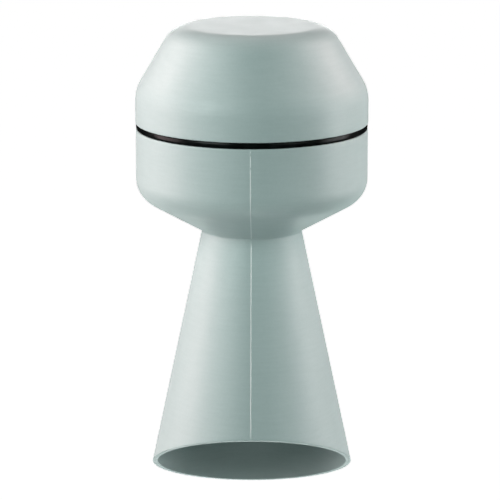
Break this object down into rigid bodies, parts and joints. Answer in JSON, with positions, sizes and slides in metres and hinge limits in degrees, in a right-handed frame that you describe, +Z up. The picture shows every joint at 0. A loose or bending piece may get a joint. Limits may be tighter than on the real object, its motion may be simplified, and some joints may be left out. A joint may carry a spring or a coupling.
{
  "type": "cowl vent",
  "caption": "Mushroom-head cowl vent: a screw-down cap on a rubber seal over a drum, and a flared trunk with a slant-cut open mouth.",
  "frame": {"origin": "where the trunk's axis crosses the slanted plane of its mouth", "axes": "+Z up along the trunk's axis to the cap's flat top; -Y to the front, the mouth's high side; +X to the right, seen from the front"},
  "size_m": [0.1156, 0.1156, 0.2495],
  "materials": {
    "grey_green_plastic": "satin moulded, faintly mottled",
    "black_nylon": "moulded, glass-filled",
    "black_rubber": "smooth, semi-gloss",
    "stainless_steel": "turned",
    "brass": "turned",
    "anodised_aluminium": "anodised, satin"
  },
  "bodies": {
    "housing": {"body_moulding": "grey_green_plastic", "throat_sleeve": "black_nylon", "throat_gasket": "black_rubber", "insect_screen": "stainless_steel", "screen_ring": "black_nylon", "sleeve_screw_1": "stainless_steel", "sleeve_screw_2": "stainless_steel", "sleeve_screw_3": "stainless_steel", "sleeve_screw_4": "stainless_steel", "sleeve_washer_1": "stainless_steel", "sleeve_washer_2": "stainless_steel", "sleeve_washer_3": "stainless_steel", "sleeve_washer_4": "stainless_steel", "nut_circlip": "stainless_steel"},
    "knob": {"drive_nut": "brass", "upper_thrust_washer": "stainless_steel", "lower_thrust_washer": "stainless_steel", "drive_tube": "anodised_aluminium", "tube_grub_screw_1": "stainless_steel", "tube_grub_screw_2": "stainless_steel", "control_knob": "black_nylon", "knob_cap": "grey_green_plastic", "knob_pin": "stainless_steel"},
    "cap": {"cap_shell": "grey_green_plastic", "cap_seal": "black_rubber", "seal_hoop": "stainless_steel", "cap_insert": "brass", "hub_washer": "stainless_steel", "lock_nut": "stainless_steel", "spindle": "stainless_steel", "stop_collar": "brass", "stop_circlip": "stainless_steel"}
  },
  "joints": [
    {"name": "knob_turn", "type": "hinge", "parent": "housing", "child": "knob", "pos_m": [0, 0, 0.13372], "axis": [0, 0, -1], "range_deg": [0, 900]},
    {"name": "cap_lift", "type": "slide", "parent": "housing", "child": "cap", "axis": [0, 0, 1], "range_m": [0, 0.015]}
  ],
  "couplings": [
    {"joint": "knob_turn", "follows": "cap_lift", "rad_per_m": 1047.2}
  ]
}
